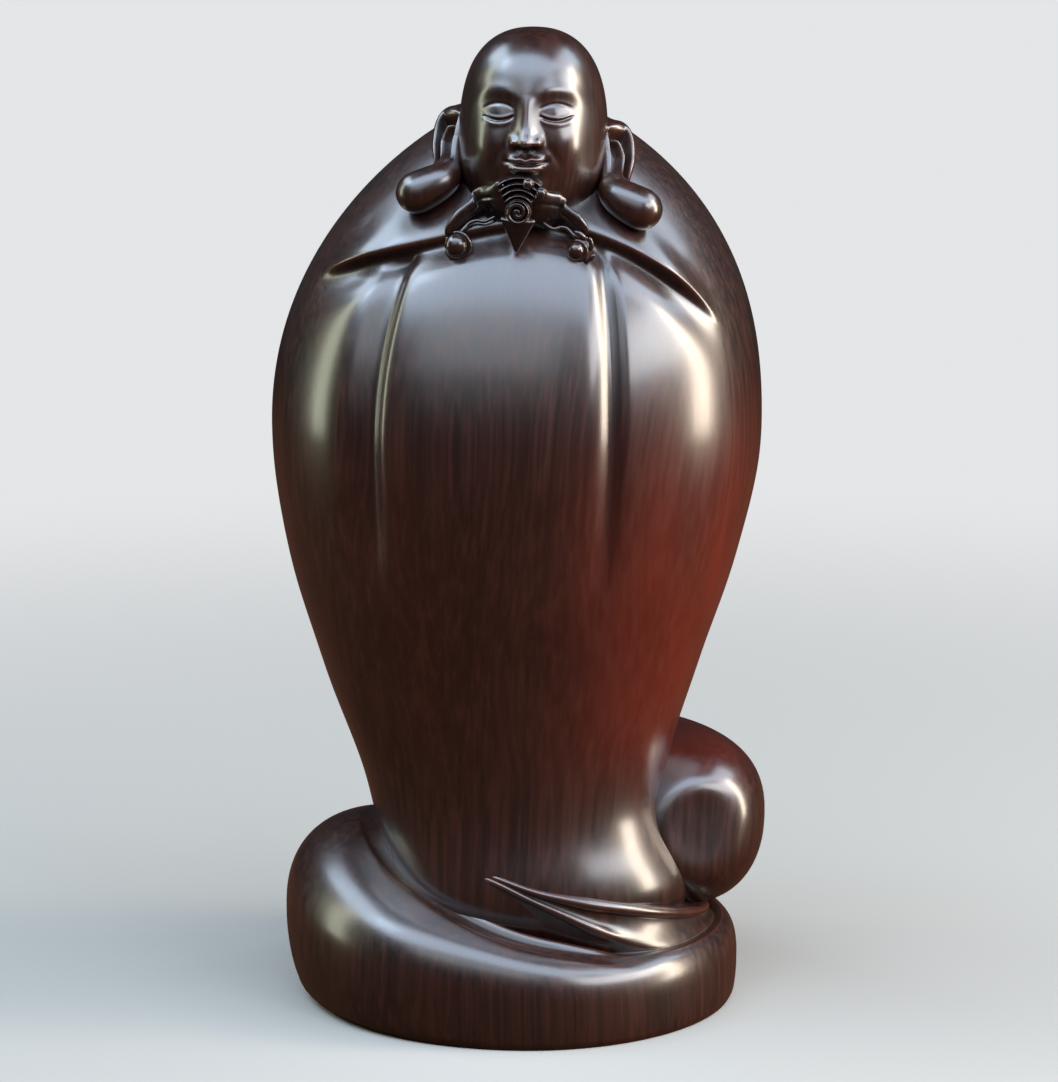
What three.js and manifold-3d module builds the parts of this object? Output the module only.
// A carved hardwood devotional figure, built up from glued blocks as joined-wood carvings are.
// A bald head with long ear lobes leans out of a swelling robe. The robe tapers, turns and coils
// on the ground. A leaf-and-scroll clasp closes it under the chin. Dowels join the blocks.
// Units are millimetres and degrees, +Z is up, and the figure faces -Y.
// The origin is on the ground at the middle of the foot.
import * as THREE from "three";
import { mergeVertices } from "three/addons/utils/BufferGeometryUtils.js";
import Module from "manifold-3d";

const wasm = await Module();
wasm.setup();

// Joinery
const CLEARANCE = 0.3; // glue gap between neighbouring blocks
const SOCKET_FLOOR = 10; // height of the robe's foot above the ground, in the socket of the base

// Robe, as levels from the foot to the belly
const FOOT = { height: SOCKET_FLOOR, halfWidth: 25, front: 24, back: 22, x: 2, y: -2 };
const TURN = { height: 26, halfWidth: 32, front: 32, back: 25, x: 3.5, y: -1 };
const WAIST = { height: 41, halfWidth: 30.3, front: 29.5, back: 25.5, x: -1.5, y: -1 };
const HIP = { height: 70, halfWidth: 38.3, front: 34.5, back: 31.5, x: -3.4, y: 0 };
const FLANK = { height: 92, halfWidth: 45.2, front: 39, back: 35.5, x: -3, y: 0 };
const BELLY = { height: 118, halfWidth: 49.4, front: 42, back: 38, x: -2.2, y: 0 };
const CROWN = { height: 185, x: 0, y: 7 };
const SHOULDER_FULLNESS = 2.3; // exponent that keeps the shoulders wide
const SHOULDER_ROUNDING = 0.68; // exponent that closes them to the crown
const ROBE_SQUARENESS = 2.15; // exponent of the cross-section, 2 being an ellipse

// Carved lines of the robe
const PLEAT_ANGLE = { left: 25.5, right: 28.5 }; // off the front, on the figure's two sides
const PLEAT_DEPTH = 1.7;
const PLEAT_WIDTH = 2.6; // degrees
const PLEAT_LOW = 84; // height where the pleats fade out
const PLEAT_HIGH = 112; // height where they have their full depth
const LAPEL_TOP = 160.5; // height of the lapel's edge at the front, under the clasp
// On each side: how far the edge falls, the angle at which it ends and the power of its fall
const LEFT_LAPEL = { drop: 27, spread: 58, fall: 1.9 };
const RIGHT_LAPEL = { drop: 11.5, spread: 62, fall: 1.2 };
const LAPEL_DEPTH = 1.7; // valley below the edge
const LAPEL_WIDTH = 1.9;
const LAPEL_LIP = 1.1; // how far the rolled edge stands proud
const LAPEL_FADE = 16; // degrees over which the edge dies out

// Ground fold. Its stations go round the foot by compass angle: -90 is the front, 0 the figure's
// left and 180 its right. They give the height of the crest, the distances of the widest line and
// of the rim, and the depth of the groove inside the rim.
const FOLD_RIGHT = { angle: -180, crest: 36.6, bulge: 50, rim: 29, groove: 3.4 };
const FOLD_QUARTER = { angle: -140, crest: 29.8, bulge: 47.3, rim: 28, groove: 3.4 };
const FOLD_FRONT = { angle: -90, crest: 22, bulge: 43.2, rim: 31.8, groove: 3.4 };
const FOLD_TURN = { angle: -70, crest: 20.3, bulge: 43.2, rim: 33, groove: 3 };
const FOLD_END = { angle: -55, crest: 18.6, bulge: 43.2, rim: 36.6, groove: 0.7 };
const FOLD_SIDE = { angle: -42, crest: 17.6, bulge: 43.2, rim: 38.8, groove: 0.1 };
const FOLD_LEFT = { angle: 0, crest: 16.6, bulge: 43.2, rim: 39.2, groove: 0.1 };
const FOLD_BACK = { angle: 95, crest: 25, bulge: 43.2, rim: 30, groove: 10 };
const FOLD_RADIUS = 41.6; // at the ground
const FOLD_BULGE_SHARE = 0.4; // height of the widest line, as a share of the crest's height
const FOLD_SQUARENESS = 2.5;
const FOLD_LIP = 0.9; // width of the rounded rim
const GROOVE_WIDTH = 3.2;
const GROOVE_FULL = 3.4; // depth at which the groove has its full width

// Middle fold, between the ground fold and the robe. Its stations go by the same angles, with the
// distance and the height of its two edges: the ridge over the groove, and the shelf under the
// robe. Where it is hidden, both edges lie inside the robe.
const MIDDLE_TIP = { angle: -104, ridge: 31.2, ridgeTop: 32, shelf: 30.4, shelfTop: 33 };
const MIDDLE_FRONT = { angle: -80, ridge: 34.2, ridgeTop: 27.2, shelf: 33.5, shelfTop: 30 };
const MIDDLE_SPREAD = { angle: -57, ridge: 36.9, ridgeTop: 21.6, shelf: 35.6, shelfTop: 26.2 };
const MIDDLE_SIDE = { angle: -42, ridge: 38, ridgeTop: 18.9, shelf: 36.5, shelfTop: 24.4 };
const MIDDLE_LEFT = { angle: 0, ridge: 38.4, ridgeTop: 17.6, shelf: 36.6, shelfTop: 21.8 };
const MIDDLE_END = { angle: 65, ridge: 24, ridgeTop: 15, shelf: 22, shelfTop: 15 };
const MIDDLE_HIDDEN = { angle: 220, ridge: 24, ridgeTop: 15, shelf: 22, shelfTop: 15 };

// Coil behind the robe, a roll from the figure's left round the back to its right
const COIL_ROOT = { angle: -32, reach: 28, height: 32.5, radius: 11.5 };
const COIL_SIDE = { angle: 12, reach: 32.8, height: 36, radius: 16.7 };
const COIL_REAR = { angle: 80, reach: 32.4, height: 35, radius: 15.4 };
const COIL_TAIL = { angle: 165, reach: 31.6, height: 19, radius: 10 };

// Head, in its own frame: z 0 at its lowest point, and its middle on the Z axis
const HEAD = { x: 2.1, y: -13.5, z: 159 };
const HEAD_ROLL = 0.5; // tilt towards the figure's left
const HEAD_HEIGHT = 39.5;
const HEAD_HALF_WIDTH = 14.6;
const HEAD_FRONT = 15.5;
const HEAD_BACK = 16.5;
const CHEEK_HEIGHT = 15.5; // the widest level
const HEAD_FULLNESS = 2.9;
const HEAD_ROUNDING = 0.43;
const JOWL_FULLNESS = 2.4;
const JOWL_ROUNDING = 0.5;

// Face, as heights in the head's frame
const BROW_HEIGHT = 27;
const EYE_HEIGHT = 23.7;
const NOSE_BASE = 17.4;
const MOUTH_HEIGHT = 14.2;
const CHIN_HEIGHT = 8.6;
const EYE_OFFSET = 5.6;
const NOSE_LENGTH = 3.1;

// Ears, in the head's frame. Their blades open outwards and forwards.
const EAR_ROOT = { x: 13.2, y: 4 };
const EAR_TOP = { left: 20.4, right: 22.8 };
const EAR_DROP = 13; // from the top of the ear to the start of the lobe
const EAR_SPREAD = 16.9; // from the head's middle to the start of the lobe
const EAR_FORWARD = 11.6; // how far the lobe swings forward of the ear's root
const EAR_FLARE = 50; // degrees between the blade and the face
const EAR_HALF_WIDTH = 4.2;
const EAR_THICKNESS = 1.7;
const EAR_HOLLOW = { wide: 2.8, deep: 1.9, high: 4.6 };
const LOBE_LENGTH = 8.6;
const LOBE_RADIUS = 4.2;

// Clasp, which lies against the robe and the chin. Its places go from the head's lowest point.
const SCROLL = { x: -1.1, y: -20, z: 5.4 }; // the front of the scroll
const SCROLL_RADIUS = 2.5;
const SCROLL_DEPTH = 11; // how far back its stem reaches
const ARC_COUNT = 4;
const ARC_STEP = 1.1;
const ARC_SPREAD = 58; // degrees each side of upright
const ARC_SETBACK = 0.6; // each arc stands this far behind the last
const TIP_HALF_WIDTH = 2.7;
const TIP_DROP = 8.4; // from the scroll to the pointed tip below
// Each leaf's rise of its inner end over the scroll, its reach from it, the height of its tip and
// the rise of its middle
const LEFT_LEAF = { top: 0.8, x: 13, z: 0.8, arch: 0.8 };
const RIGHT_LEAF = { top: 2, x: 14.6, z: 0.4, arch: 1.5 };
const LEAF_HALF_WIDTH = 3.3;
const LEAF_THICKNESS = 2;
const LEAF_LIP_RADIUS = 0.8;
const BEAD = { x: -13.4, z: -1.5 };
const BEAD_RADIUS = 2.3;
const ROSETTE = { x: 9.7, z: -2.3 };
const ROSETTE_RADIUS = 1.7;
const RING_RADIUS = 0.8;

// Dowels
const DOWEL_RADIUS = 3;
const DOWEL_LENGTH = 14;
const DOWEL_SPACING = 26;
const NECK_DOWEL_RADIUS = 4;
const NECK_DOWEL_LENGTH = 22;
const EAR_PEG_RADIUS = 0.8;
const EAR_PEG_LENGTH = 6;
const CLASP_PEG_RADIUS = 1.2;
const CLASP_PEG_LENGTH = 7;
const THROAT = 3; // least distance between the neck's dowel and what the clasp lies on

// Facets
const ROBE_COLUMNS = 42;
const FOLD_COLUMNS = 50;
const FOLD_FOCUS = -62; // angle round which the folds' columns stand closest together
const COIL_SIDES = 20;
const COIL_STEPS = 24;
const ROLL_EASING = 0.09; // draws the steps of a roll together at its ends
const HEAD_COLUMNS = 34;
const SOCKET_COLUMNS = 22;
const EAR_SIDES = 10;
const EAR_STEPS = 16;
const ARC_SIDES = 8;
const ARC_STEPS = 7;
const LEAF_SIDES = 8;
const LEAF_STEPS = 9;
const KNOB_SIDES = 12;
const RING_SIDES = 6;
const DOWEL_SIDES = 12;

const FULL_TURN = 2 * Math.PI;
const { degToRad, radToDeg, lerp, smoothstep } = THREE.MathUtils;
const bump = (x, centre, width) => Math.exp(-(((x - centre) / width) ** 2));
const power = (x, exponent) => Math.sign(x) * Math.abs(x) ** exponent;
const point = (x, y, z) => new THREE.Vector3(x, y, z);

// A place at a compass angle and a distance from the foot's middle
const around = (angle, reach, height) =>
  point(reach * Math.cos(degToRad(angle)), reach * Math.sin(degToRad(angle)), height);

const darkWood = new THREE.MeshStandardMaterial({ color: 0x3a1d14, roughness: 0.34, metalness: 0 });
const headWood = new THREE.MeshStandardMaterial({ color: 0x40211a, roughness: 0.3, metalness: 0 });
const claspWood = new THREE.MeshStandardMaterial({ color: 0x2c1712, roughness: 0.32, metalness: 0 });
const dowelWood = new THREE.MeshStandardMaterial({ color: 0xc79a66, roughness: 0.7, metalness: 0 });

// A smooth curve through stations of [where, value], level at both ends and at each turning point
function through(stations) {
  const slope = stations.map(([x, y], i) => {
    if (i === 0 || i === stations.length - 1) return 0;
    const [before, after] = [stations[i - 1], stations[i + 1]];
    const rise = (y - before[1]) * (after[1] - y) > 0;
    return rise ? (after[1] - before[1]) / (after[0] - before[0]) : 0;
  });
  return (x) => {
    if (x <= stations[0][0]) return stations[0][1];
    const i = stations.findIndex(([end]) => x <= end);
    if (i < 0) return stations.at(-1)[1];
    const [x0, y0] = stations[i - 1];
    const [x1, y1] = stations[i];
    const span = x1 - x0;
    const t = (x - x0) / span;
    const hold = (1 + 2 * t) * (1 - t) ** 2;
    const arrive = t * t * (3 - 2 * t);
    const leave = t * (1 - t) ** 2 * span;
    const settle = t * t * (t - 1) * span;
    return y0 * hold + y1 * arrive + slope[i - 1] * leave + slope[i] * settle;
  };
}

// A closed skin over rings of points that climb from one closing point to another.
// Each ring runs anticlockwise as seen from the last.
function skin(rings, bottom, top) {
  const columns = rings[0].length;
  const points = [bottom, ...rings.flat(), top];
  const at = (row, column) => 1 + row * columns + (column % columns);
  const last = rings.length - 1;
  const index = [];
  for (let c = 0; c < columns; c += 1) {
    index.push(0, at(0, c + 1), at(0, c));
    for (let r = 0; r < last; r += 1) {
      index.push(at(r, c), at(r, c + 1), at(r + 1, c + 1));
      index.push(at(r, c), at(r + 1, c + 1), at(r + 1, c));
    }
    index.push(points.length - 1, at(last, c), at(last, c + 1));
  }
  const geometry = new THREE.BufferGeometry().setFromPoints(points);
  geometry.setIndex(index);
  return geometry;
}

// A geometry as a solid that can be joined and cut
function solid(geometry) {
  const bare = geometry.clone();
  bare.deleteAttribute("normal");
  bare.deleteAttribute("uv");
  const merged = mergeVertices(bare);
  return new wasm.Manifold(
    new wasm.Mesh({
      numProp: 3,
      vertProperties: merged.attributes.position.array,
      triVerts: new Uint32Array(merged.index.array),
    }),
  );
}

function meshOf(name, body, material) {
  const { vertProperties, triVerts } = body.getMesh();
  const geometry = new THREE.BufferGeometry();
  geometry.setAttribute("position", new THREE.BufferAttribute(vertProperties, 3));
  geometry.setIndex(new THREE.BufferAttribute(triVerts, 1));
  geometry.computeVertexNormals();
  const mesh = new THREE.Mesh(geometry, material);
  mesh.name = name;
  return mesh;
}

// A roll swept along a path. Each station gives its centre and its two half-widths, and side is
// the direction that the first half-width points in.
function roll(stationAt, steps, sides, side) {
  const rings = [];
  const step = 1 / steps;
  const ahead = (t) => stationAt(Math.min(1, t + step / 4)).centre;
  const behind = (t) => stationAt(Math.max(0, t - step / 4)).centre;
  for (let i = 0; i <= steps; i += 1) {
    const t = i * step - ROLL_EASING * Math.sin(i * step * FULL_TURN);
    const { centre, wide, thick } = stationAt(t);
    const along = ahead(t).sub(behind(t)).normalize();
    const across = side.clone().addScaledVector(along, -side.dot(along)).normalize();
    const out = along.clone().cross(across);
    const ring = [];
    for (let k = 0; k < sides; k += 1) {
      const angle = (k / sides) * FULL_TURN;
      const p = centre.clone().addScaledVector(across, wide * Math.cos(angle));
      ring.push(p.addScaledVector(out, thick * Math.sin(angle)));
    }
    rings.push(ring);
  }
  return skin(rings, stationAt(0).centre, stationAt(1).centre);
}

// Swells from nothing at one end of 0 to 1 to nothing at the other, round at each end
const rounded = (t, start, end) =>
  Math.sqrt(Math.max(0, 1 - Math.max(0, 1 - t / start) ** 2)) *
  Math.sqrt(Math.max(0, 1 - Math.max(0, 1 - (1 - t) / end) ** 2));

// Smooth curves through stations, one for each size that they give
function curves(stations, where) {
  const sizes = Object.keys(stations[0]).filter((size) => size !== where);
  const curveOf = (size) => through(stations.map((station) => [station[where], station[size]]));
  return Object.fromEntries(sizes.map((size) => [size, curveOf(size)]));
}

const robe = curves([FOOT, TURN, WAIST, HIP, FLANK, BELLY], "height");
const coil = curves([COIL_ROOT, COIL_SIDE, COIL_REAR, COIL_TAIL], "angle");

// The robe's plain cross-section at a height
function robeSection(z) {
  const share = Math.min(1, Math.max(0, (z - BELLY.height) / (CROWN.height - BELLY.height)));
  const closing = (1 - share ** SHOULDER_FULLNESS) ** SHOULDER_ROUNDING;
  const lean = smoothstep(share, 0, 1);
  return {
    halfWidth: robe.halfWidth(z) * closing,
    front: robe.front(z) * closing,
    back: robe.back(z) * closing,
    x: robe.x(z) + (CROWN.x - BELLY.x) * lean,
    y: robe.y(z) + (CROWN.y - BELLY.y) * lean,
  };
}

// Degrees between an angle and the figure's front, above 0 towards its left
function offFront(angle) {
  const off = radToDeg(angle) + 90;
  return off > 180 ? off - 360 : off;
}

// Height of the lapel's edge at so many degrees off the front
function lapelEdge(off) {
  const { drop, spread, fall } = off > 0 ? LEFT_LAPEL : RIGHT_LAPEL;
  return LAPEL_TOP - drop * Math.min(1, Math.abs(off) / spread) ** fall;
}

// Carved depth of the robe's pleats and lapels, outwards
function robeRelief(off, z) {
  const above = z - lapelEdge(off);
  const { spread } = off > 0 ? LEFT_LAPEL : RIGHT_LAPEL;
  const dies = 1 - smoothstep(Math.abs(off), spread - LAPEL_FADE, spread);
  const undercut = -LAPEL_DEPTH * bump(above, -1, LAPEL_WIDTH);
  const lip = LAPEL_LIP * bump(above, 2.6, 2.4);
  const hollow = -0.6 * LAPEL_LIP * bump(above, 9.5, 4.5);
  const pleatLength = smoothstep(z, PLEAT_LOW, PLEAT_HIGH) * smoothstep(-above, 0, 3);
  const middle = off > 0 ? PLEAT_ANGLE.left : PLEAT_ANGLE.right;
  const pleat = -PLEAT_DEPTH * bump(Math.abs(off), middle, PLEAT_WIDTH) * pleatLength;
  return (undercut + lip + hollow) * dies + pleat;
}

// A point of the robe's surface, grown outwards by some clearance
function robePoint(angle, z, grow = 0) {
  const section = robeSection(z);
  const carved = grow + robeRelief(offFront(angle), z) * Math.min(1, section.front / 20);
  const across = power(Math.cos(angle), 2 / ROBE_SQUARENESS);
  const along = power(Math.sin(angle), 2 / ROBE_SQUARENESS);
  const depth = along < 0 ? section.front : section.back;
  return point(
    section.x + (section.halfWidth + carved) * across,
    section.y + (depth + carved) * along,
    z,
  );
}

// Columns of the robe, closer together at the pleats
function robeAngles() {
  const plain = [];
  for (let i = 0; i < ROBE_COLUMNS; i += 1) plain.push(-180 + (i * 360) / ROBE_COLUMNS);
  const pleats = [-PLEAT_ANGLE.right, PLEAT_ANGLE.left].flatMap((off) =>
    [-2, -1, 0, 1, 2].map((i) => off - 90 + i * PLEAT_WIDTH * 0.8),
  );
  const clear = plain.filter((a) => pleats.every((p) => Math.abs(a - p) > PLEAT_WIDTH * 0.9));
  return [...clear, ...pleats].sort((a, b) => a - b).map(degToRad);
}

// The robe, from its flat foot to the crown behind the head. Its rows follow the lapel's edge.
function robeSkin(grow = 0) {
  const angles = robeAngles();
  const lapelRows = [-6, -3, -1.6, -0.5, 0.8, 2.4, 4.5, 7.5, 11];
  const lowRows = 15;
  const highRows = 8;
  const levelAt = (angle, row) => {
    const edge = lapelEdge(offFront(angle));
    const low = edge + lapelRows[0];
    const high = edge + lapelRows.at(-1);
    if (row < lowRows) return lerp(FOOT.height - grow, low, (row / lowRows) ** 1.2);
    const middle = row - lowRows;
    if (middle < lapelRows.length) return edge + lapelRows[middle];
    const climb = (middle - lapelRows.length + 1) / (highRows + 0.35);
    return lerp(high, CROWN.height, Math.sin((climb * Math.PI) / 2) ** 0.9);
  };
  const rows = lowRows + lapelRows.length + highRows;
  const rings = [];
  for (let row = 0; row < rows; row += 1) {
    rings.push(angles.map((angle) => robePoint(angle, levelAt(angle, row), grow)));
  }
  const foot = point(FOOT.x, FOOT.y, FOOT.height - grow);
  return skin(rings, foot, point(CROWN.x, CROWN.y, CROWN.height + grow));
}

// Stations repeated for the turn before and the turn after, so that a curve runs on all round
const allRound = (stations) =>
  [-360, 0, 360].flatMap((lap) => stations.map((s) => ({ ...s, angle: s.angle + lap })));

const fold = curves(
  allRound([
    FOLD_RIGHT,
    FOLD_QUARTER,
    FOLD_FRONT,
    FOLD_TURN,
    FOLD_END,
    FOLD_SIDE,
    FOLD_LEFT,
    FOLD_BACK,
  ]),
  "angle",
);
const middleFold = curves(
  allRound([
    MIDDLE_TIP,
    MIDDLE_FRONT,
    MIDDLE_SPREAD,
    MIDDLE_SIDE,
    MIDDLE_LEFT,
    MIDDLE_END,
    MIDDLE_HIDDEN,
  ]),
  "angle",
);

// The outline of both folds at a compass angle, as distance and height from the ground inwards
function foldOutline(angle) {
  const [crest, bulge, rim] = [fold.crest(angle), fold.bulge(angle), fold.rim(angle)];
  const groove = fold.groove(angle);
  const widest = crest * FOLD_BULGE_SHARE;
  const foot = lerp(FOLD_RADIUS, bulge, 0.3);
  const outline = [];
  for (const up of [0, 0.3, 0.65]) {
    outline.push([lerp(foot, bulge, Math.sqrt(1 - (1 - up) ** 2)), widest * up]);
  }
  const steps = 7;
  for (let i = 0; i <= steps; i += 1) {
    const lift = (i / steps) * (Math.PI / 2);
    const outwards = power(Math.cos(lift), 2 / FOLD_SQUARENESS);
    const upwards = power(Math.sin(lift), 2 / FOLD_SQUARENESS);
    outline.push([lerp(rim, bulge, outwards), lerp(widest, crest, upwards)]);
  }
  const open = Math.min(1, groove / GROOVE_FULL);
  outline.push([rim - FOLD_LIP * open, crest - 0.15 * groove]);
  outline.push([rim - 0.5 * GROOVE_WIDTH * open, crest - 0.75 * groove]);
  outline.push([rim - GROOVE_WIDTH * open, crest - groove]);
  const [ridge, ridgeTop] = [middleFold.ridge(angle), middleFold.ridgeTop(angle)];
  const [shelf, shelfTop] = [middleFold.shelf(angle), middleFold.shelfTop(angle)];
  outline.push([ridge, ridgeTop]);
  outline.push([lerp(ridge, shelf, 0.7), lerp(ridgeTop, shelfTop, 0.4)]);
  outline.push([shelf, shelfTop]);
  outline.push([0.9 * shelf, shelfTop - 0.5]);
  outline.push([0.4 * shelf, 0.5 * (shelfTop + MIDDLE_HIDDEN.shelfTop)]);
  return outline;
}

function foldSkin() {
  const columns = Array.from({ length: FOLD_COLUMNS }, (_, i) => {
    const even = (i / FOLD_COLUMNS - 0.5) * FULL_TURN;
    const angle = radToDeg(even - 0.45 * Math.sin(even)) + FOLD_FOCUS;
    return foldOutline(angle).map(([reach, height]) => around(angle, reach, height));
  });
  const rings = columns[0].map((_, row) => columns.map((column) => column[row]));
  return skin(rings, point(0, 0, 0), point(0, 0, MIDDLE_HIDDEN.shelfTop));
}

// The coil, a roll round the robe's foot
function coilSkin(grow = 0) {
  const stationAt = (t) => {
    const angle = lerp(COIL_ROOT.angle, COIL_TAIL.angle, t);
    const radius = (coil.radius(angle) + grow) * rounded(t, 0.12, 0.08);
    const centre = around(angle, coil.reach(angle), coil.height(angle));
    return { centre, wide: radius, thick: radius };
  };
  return roll(stationAt, COIL_STEPS, COIL_SIDES, point(0, 0, 1));
}

// Carved depth of the face at a distance from its middle line and a height, outwards
function faceRelief(x, z) {
  const off = Math.abs(x);
  const noseRun = THREE.MathUtils.clamp((BROW_HEIGHT - z) / (BROW_HEIGHT - NOSE_BASE), 0, 1);
  const noseWidth = lerp(1.5, 2.5, noseRun);
  const noseBase = smoothstep(z, NOSE_BASE - 0.7, NOSE_BASE + 0.6);
  const nose = NOSE_LENGTH * noseRun ** 1.4 * bump(off, 0, noseWidth) * noseBase;
  const bridge = 0.6 * bump(z, BROW_HEIGHT - 2, 3) * bump(off, 0, 1.6);
  const nostril = 1.1 * bump(off, 2.5, 1) * bump(z, NOSE_BASE + 1.2, 1.2);
  const arch = BROW_HEIGHT + 1.2 - 0.05 * (off - EYE_OFFSET) ** 2;
  const brow = 0.45 * bump(z, arch, 1.9) * bump(off, EYE_OFFSET, 4.4);
  const socket = -1.2 * bump(z, EYE_HEIGHT, 2.6) * bump(off, EYE_OFFSET - 0.4, 3.4);
  const lid = 1.1 * bump(z, EYE_HEIGHT, 1.5) * bump(off, EYE_OFFSET, 2.3);
  const cheek = 0.7 * bump(z, NOSE_BASE + 1, 5) * bump(off, 8.5, 4);
  const upperLip = 0.9 * bump(z, MOUTH_HEIGHT + 1, 0.9) * bump(off, 0, 3.4);
  const lowerLip = 1 * bump(z, MOUTH_HEIGHT - 1.3, 1) * bump(off, 0, 2.8);
  const parting = -0.6 * bump(z, MOUTH_HEIGHT, 0.5) * bump(off, 0, 4.4);
  const chin = 1.1 * bump(z, CHIN_HEIGHT, 2.6) * bump(off, 0, 4);
  const lips = upperLip + lowerLip + parting;
  return nose + bridge + nostril + brow + socket + lid + cheek + lips + chin;
}

// A point of the head's surface in its own frame
function headPoint(angle, z, grow = 0) {
  const rise = z - CHEEK_HEIGHT;
  const share = rise > 0 ? rise / (HEAD_HEIGHT - CHEEK_HEIGHT) : -rise / CHEEK_HEIGHT;
  const closing =
    rise > 0
      ? (1 - Math.min(1, share) ** HEAD_FULLNESS) ** HEAD_ROUNDING
      : (1 - Math.min(1, share) ** JOWL_FULLNESS) ** JOWL_ROUNDING;
  const across = Math.cos(angle);
  const along = Math.sin(angle);
  const depth = along < 0 ? HEAD_FRONT : HEAD_BACK;
  const x = HEAD_HALF_WIDTH * closing * across;
  const relief = grow + (along < 0 ? faceRelief(x, z) * Math.sqrt(-along) : 0);
  return point(x + relief * across, depth * closing * along + relief * along, z);
}

function headSkin(grow = 0, columns = HEAD_COLUMNS) {
  const angles = [];
  for (let i = 0; i < columns; i += 1) {
    const even = (i / columns - 0.5) * FULL_TURN;
    angles.push(even - 0.5 * Math.sin(even) - Math.PI / 2);
  }
  const levels = [];
  for (let i = 1; i <= 4; i += 1) {
    levels.push(CHIN_HEIGHT * (1 - Math.cos((i / 4) * (Math.PI / 2))));
  }
  const faceTop = BROW_HEIGHT + 2;
  const faceRows = 16;
  for (let i = 1; i <= faceRows; i += 1) levels.push(lerp(CHIN_HEIGHT, faceTop, i / faceRows));
  for (let i = 1; i <= 6; i += 1) {
    levels.push(lerp(faceTop, HEAD_HEIGHT, Math.sin((i / 6.3) * (Math.PI / 2))));
  }
  const rings = levels.map((z) => angles.map((angle) => headPoint(angle, z, grow)));
  return skin(rings, point(0, 0, -grow), point(0, 0, HEAD_HEIGHT + grow));
}

// The direction across an ear's blade, from its front edge. Hand is 1 for the figure's left.
const acrossEar = (hand) =>
  point(hand * Math.cos(degToRad(EAR_FLARE)), Math.sin(degToRad(EAR_FLARE)), 0);

function earPath(hand) {
  const top = hand > 0 ? EAR_TOP.left : EAR_TOP.right;
  const front = EAR_ROOT.y - EAR_FORWARD;
  return new THREE.CatmullRomCurve3([
    point(hand * EAR_ROOT.x, EAR_ROOT.y, top),
    point(hand * (EAR_ROOT.x + 2.6), EAR_ROOT.y - 2, top - 1.4),
    point(hand * (EAR_SPREAD - 0.2), EAR_ROOT.y - 0.4 * EAR_FORWARD, top - 0.46 * EAR_DROP),
    point(hand * (EAR_SPREAD - 0.6), EAR_ROOT.y - 0.7 * EAR_FORWARD, top - 0.8 * EAR_DROP),
    point(hand * (EAR_SPREAD + 0.8), front, top - EAR_DROP),
    point(hand * (EAR_SPREAD + LOBE_LENGTH), front - 1.6, top - EAR_DROP - 0.45 * LOBE_LENGTH),
  ]);
}

// An ear with its hollow and its long lobe, in the head's frame
function earSolid(hand) {
  const path = earPath(hand);
  const wide = through([
    [0, 2.4],
    [0.3, EAR_HALF_WIDTH],
    [0.6, 0.72 * EAR_HALF_WIDTH],
    [0.84, LOBE_RADIUS],
    [1, LOBE_RADIUS],
  ]);
  const thick = through([
    [0, EAR_THICKNESS],
    [0.4, EAR_THICKNESS],
    [0.8, LOBE_RADIUS],
    [1, LOBE_RADIUS],
  ]);
  const stationAt = (t) => {
    const end = rounded(t, 0.06, 0.18);
    return { centre: path.getPoint(t), wide: wide(t) * end, thick: thick(t) * end };
  };
  const blade = roll(stationAt, EAR_STEPS, EAR_SIDES, acrossEar(hand));
  const hollow = new THREE.SphereGeometry(1, EAR_SIDES, 8);
  hollow.scale(EAR_HOLLOW.wide, EAR_HOLLOW.high, EAR_HOLLOW.deep).rotateX(Math.PI / 2);
  hollow.rotateZ(Math.atan2(acrossEar(hand).y, acrossEar(hand).x));
  const middle = path.getPoint(0.32);
  const opening = point(hand * acrossEar(hand).y, -hand * acrossEar(hand).x, 0);
  middle.addScaledVector(opening, EAR_THICKNESS + 0.3).addScaledVector(acrossEar(hand), -0.3);
  hollow.translate(middle.x, middle.y, middle.z);
  return solid(blade.applyMatrix4(inHead)).subtract(solid(hollow.applyMatrix4(inHead)));
}

const inHead = new THREE.Matrix4().compose(
  point(HEAD.x, HEAD.y, HEAD.z),
  new THREE.Quaternion().setFromEuler(new THREE.Euler(0, degToRad(HEAD_ROLL), 0)),
  point(1, 1, 1),
);

// How far forward the robe's, the head's or the neck's plain surface stands at a place seen from
// the front
function frontOf(x, z) {
  const section = robeSection(z);
  const across = Math.min(1, Math.abs((x - section.x) / section.halfWidth));
  const along = (1 - across ** ROBE_SQUARENESS) ** (1 / ROBE_SQUARENESS);
  const robeFront = section.y - section.front * along;
  const side = headPoint(0, Math.max(0, z - HEAD.z)).x;
  const reach = Math.min(1, Math.abs(x - HEAD.x) / Math.max(side, 0.1));
  const share = side / HEAD_HALF_WIDTH;
  const headFront = HEAD.y - HEAD_FRONT * share * Math.sqrt(1 - reach ** 2);
  const neckFront = HEAD.y - NECK_DOWEL_RADIUS - THROAT;
  return Math.min(robeFront, headFront, neckFront);
}

// A place of the clasp, given from the head's lowest point
const fromHead = ({ x, y = 0, z }) => point(HEAD.x + x, HEAD.y + y, HEAD.z + z);

// The same place, moved to the surface that lies behind it
function onSurface(place) {
  const { x, z } = fromHead(place);
  return point(x, frontOf(x, z), z);
}

// A roll that lies on the robe and the chin, through places seen from the front
function laidRoll(places, side, wide, thick, proud, grow) {
  const path = new THREE.CatmullRomCurve3(
    places.map(([x, z]) => point(x, frontOf(x, z) - proud, z)),
  );
  const stationAt = (t) => ({
    centre: path.getPoint(t),
    wide: wide(t) + grow,
    thick: thick(t) + grow,
  });
  return roll(stationAt, LEAF_STEPS, LEAF_SIDES, side);
}

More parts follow.
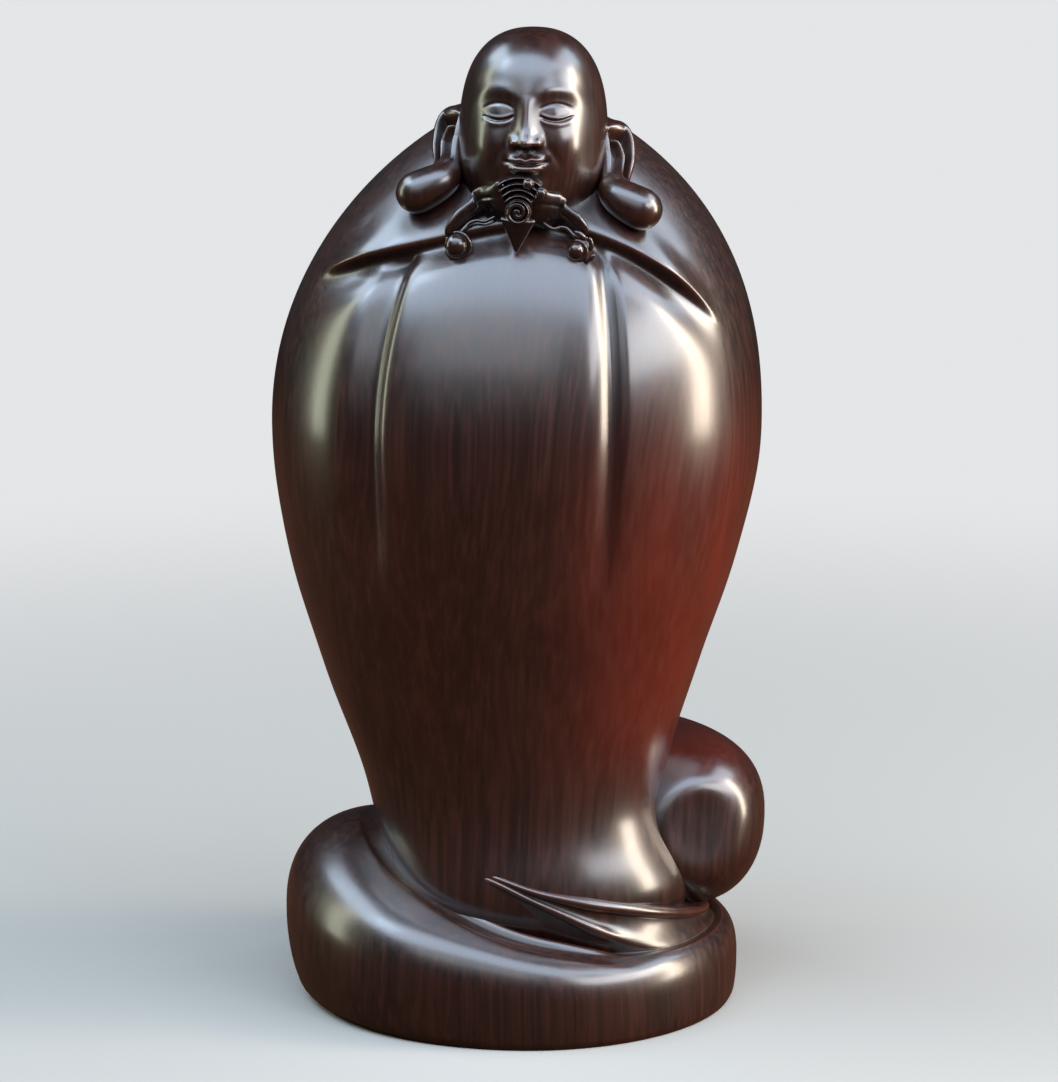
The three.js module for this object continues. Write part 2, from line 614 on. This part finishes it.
// One arc of the fan round the scroll, as a deep roll with a rounded front
function arcSkin(order, grow) {
  const reach = SCROLL_RADIUS + (order + 0.5) * ARC_STEP;
  const half = SCROLL_DEPTH / 2;
  const front = fromHead(SCROLL);
  const stationAt = (t) => {
    const angle = degToRad(90 + (ARC_SPREAD - 5 * order) * (1 - 2 * t));
    const end = rounded(t, 0.08, 0.08);
    return {
      centre: point(
        front.x + reach * Math.cos(angle),
        front.y + half + ARC_SETBACK * (order + 1),
        front.z + reach * Math.sin(angle),
      ),
      wide: half * (0.8 + 0.2 * end) + grow,
      thick: 0.74 * ARC_STEP * (0.3 + 0.7 * end) + grow,
    };
  };
  return roll(stationAt, ARC_STEPS, ARC_SIDES, point(0, 1, 0));
}

// A lathe-turned body with its axis along Y and its last point foremost
function turned(profile, sides, place) {
  const lathe = new THREE.LatheGeometry(
    profile.map(([radius, height]) => new THREE.Vector2(radius, height)),
    sides,
  );
  lathe.rotateX(Math.PI);
  return solid(lathe.translate(place.x, place.y, place.z));
}

// The clasp's middle: a scroll on a stem, its fan of arcs and the pointed tip below
function scrollSolid(grow = 0) {
  const radius = SCROLL_RADIUS + grow;
  const front = fromHead(SCROLL);
  const stem = turned(
    [
      [0, -SCROLL_DEPTH - grow],
      [radius, -SCROLL_DEPTH - grow],
      [radius, -0.5 + grow],
      [radius - 0.4, grow],
      [radius - 0.9, grow - 0.2],
      [radius - 1.1, grow - 0.8],
      [radius - 1.5, grow - 0.8],
      [radius - 1.8, grow],
      [0, grow + 0.3],
    ],
    20,
    front,
  );
  const tip = laidRoll(
    [0, 0.5, 1].map((t) => [front.x - 0.6 * t, front.z - lerp(1, TIP_DROP, t)]),
    point(1, 0, 0),
    (t) => TIP_HALF_WIDTH * (1 - 0.9 * t ** 1.5),
    (t) => lerp(2, 0.6, t),
    0.8,
    grow,
  );
  let body = stem.add(solid(tip));
  for (let i = 0; i < ARC_COUNT; i += 1) body = body.add(solid(arcSkin(i, grow)));
  return body;
}

// One of the clasp's leaves with the rolled lip along its lower edge. Hand is 1 for the
// figure's left.
function leafSolid(hand, grow = 0) {
  const leaf = hand > 0 ? LEFT_LEAF : RIGHT_LEAF;
  const root = fromHead(SCROLL);
  const halfWidth = (t) => LEAF_HALF_WIDTH * (1 - 0.8 * t ** 1.5);
  const line = (start, lowered) =>
    [0, 0.3, 0.6, 0.85, 1].map((t) => [
      root.x + hand * lerp(start, leaf.x, t),
      lerp(root.z + leaf.top, HEAD.z + leaf.z, t) +
        leaf.arch * Math.sin(Math.PI * t) -
        lowered * halfWidth(t),
    ]);
  const blade = laidRoll(
    line(1.5, 0),
    point(0, 0, 1),
    (t) => halfWidth(t) * (0.3 + 0.7 * rounded(t, 0.15, 0.12)),
    (t) => LEAF_THICKNESS * rounded(t, 0.2, 0.25) + 0.3,
    1.2,
    grow,
  );
  const lip = laidRoll(
    line(2.5, 0.9),
    point(0, 0, 1),
    () => LEAF_LIP_RADIUS,
    () => LEAF_LIP_RADIUS,
    1.6,
    grow,
  );
  return solid(blade).add(solid(lip));
}

// A ball in a ring, laid on the robe
function knobSolid(place, radius) {
  const seat = onSurface(place);
  seat.y -= 0.4 * radius;
  const steps = 7;
  const ball = [[0, -radius]];
  for (let i = 1; i < steps; i += 1) {
    const angle = (i / steps) * Math.PI;
    ball.push([radius * Math.sin(angle), -radius * Math.cos(angle)]);
  }
  ball.push([0, radius]);
  const ringMiddle = radius + 0.3;
  const ring = new THREE.TorusGeometry(ringMiddle, RING_RADIUS, RING_SIDES, KNOB_SIDES);
  ring.rotateX(Math.PI / 2).translate(seat.x, seat.y, seat.z);
  return turned(ball, KNOB_SIDES, seat).add(solid(ring));
}

// A round dowel from its middle along a direction, or its hole with the clearance all round
function dowelSolid(middle, direction, radius, length, clearance = 0) {
  const [r, half] = [radius + clearance, length / 2 + clearance];
  const chamfer = Math.min(0.5, radius / 3);
  const lathe = new THREE.LatheGeometry(
    [
      [0, -half],
      [r - chamfer, -half],
      [r, -half + chamfer],
      [r, half - chamfer],
      [r - chamfer, half],
      [0, half],
    ].map(([x, y]) => new THREE.Vector2(x, y)),
    DOWEL_SIDES,
  );
  const turnTo = new THREE.Quaternion().setFromUnitVectors(
    point(0, 1, 0),
    direction.clone().normalize(),
  );
  lathe.applyQuaternion(turnTo);
  return solid(lathe.translate(middle.x, middle.y, middle.z));
}

// Every dowel, with the two blocks that it joins
function dowelPlan() {
  const coilJoint = (angle) => {
    const height = coil.height(angle);
    const surface = robePoint(degToRad(angle), height);
    const middle = around(angle, Math.hypot(surface.x, surface.y), height);
    return { middle, direction: around(angle, 1, 0) };
  };
  const earJoint = (hand) => {
    const direction = acrossEar(hand);
    const middle = earPath(hand).getPoint(0.13).addScaledVector(direction, -0.4 * EAR_PEG_LENGTH);
    return { middle: middle.applyMatrix4(inHead), direction };
  };
  const upright = point(0, 0, 1);
  const footJoint = (side) => ({
    middle: point(FOOT.x + (side * DOWEL_SPACING) / 2, FOOT.y, SOCKET_FLOOR),
    direction: upright,
  });
  const big = { radius: DOWEL_RADIUS, length: DOWEL_LENGTH };
  const neck = { radius: NECK_DOWEL_RADIUS, length: NECK_DOWEL_LENGTH };
  const earPeg = { radius: EAR_PEG_RADIUS, length: EAR_PEG_LENGTH };
  return [
    { name: "base_dowel_left", joins: ["base_fold", "robe_body"], ...footJoint(1), ...big },
    { name: "base_dowel_right", joins: ["base_fold", "robe_body"], ...footJoint(-1), ...big },
    { name: "coil_dowel_front", joins: ["back_coil", "robe_body"], ...coilJoint(20), ...big },
    { name: "coil_dowel_back", joins: ["back_coil", "robe_body"], ...coilJoint(105), ...big },
    {
      name: "neck_dowel",
      joins: ["head", "robe_body"],
      middle: point(HEAD.x, HEAD.y, HEAD.z),
      direction: upright,
      ...neck,
    },
    { name: "ear_peg_left", joins: ["head", "ear_left"], ...earJoint(1), ...earPeg },
    { name: "ear_peg_right", joins: ["head", "ear_right"], ...earJoint(-1), ...earPeg },
    {
      name: "clasp_peg",
      joins: ["clasp_scroll", "head"],
      middle: onSurface(SCROLL),
      direction: point(0, 1, 0),
      radius: CLASP_PEG_RADIUS,
      length: CLASP_PEG_LENGTH,
    },
  ];
}

// The blocks as solids, each cut clear of the ones it is fitted to
function carvedBlocks() {
  const place = (geometry) => solid(geometry.applyMatrix4(inHead));
  const robeGrown = solid(robeSkin(CLEARANCE));
  const headGrown = place(headSkin(CLEARANCE));
  const coilGrown = solid(coilSkin(CLEARANCE));
  const scrollGrown = scrollSolid(CLEARANCE);
  const [leftGrown, rightGrown] = [leafSolid(1, CLEARANCE), leafSolid(-1, CLEARANCE)];
  const laid = (body, ...others) =>
    others.reduce((left, other) => left.subtract(other), body.subtract(robeGrown)).subtract(headGrown);
  const ear = (hand) => laid(earSolid(hand));
  return {
    robe_body: solid(robeSkin()).subtract(place(headSkin(CLEARANCE + 0.1, SOCKET_COLUMNS))),
    base_fold: solid(foldSkin()).subtract(robeGrown).subtract(coilGrown),
    back_coil: solid(coilSkin()).subtract(robeGrown),
    head: place(headSkin()),
    ear_left: ear(1),
    ear_right: ear(-1),
    clasp_scroll: laid(scrollSolid()),
    clasp_leaf_left: laid(leafSolid(1), scrollGrown),
    clasp_leaf_right: laid(leafSolid(-1), scrollGrown),
    clasp_bead: laid(knobSolid(BEAD, BEAD_RADIUS), rightGrown),
    clasp_rosette: laid(knobSolid(ROSETTE, ROSETTE_RADIUS), leftGrown),
  };
}

const FINISH = { head: headWood, ear_left: headWood, ear_right: headWood };

function buildFigure() {
  const blocks = carvedBlocks();
  const dowels = dowelPlan();
  for (const dowel of dowels) {
    const { middle, direction, radius, length } = dowel;
    const hole = dowelSolid(middle, direction, radius, length, CLEARANCE);
    for (const name of dowel.joins) blocks[name] = blocks[name].subtract(hole);
  }
  const figure = new THREE.Group();
  figure.name = "robed_figure";
  for (const [name, body] of Object.entries(blocks)) {
    const material = FINISH[name] ?? (name.startsWith("clasp") ? claspWood : darkWood);
    figure.add(meshOf(name, body, material));
  }
  for (const { name, middle, direction, radius, length } of dowels) {
    figure.add(meshOf(name, dowelSolid(middle, direction, radius, length), dowelWood));
  }
  return figure;
}

const figure = buildFigure();
export default figure;
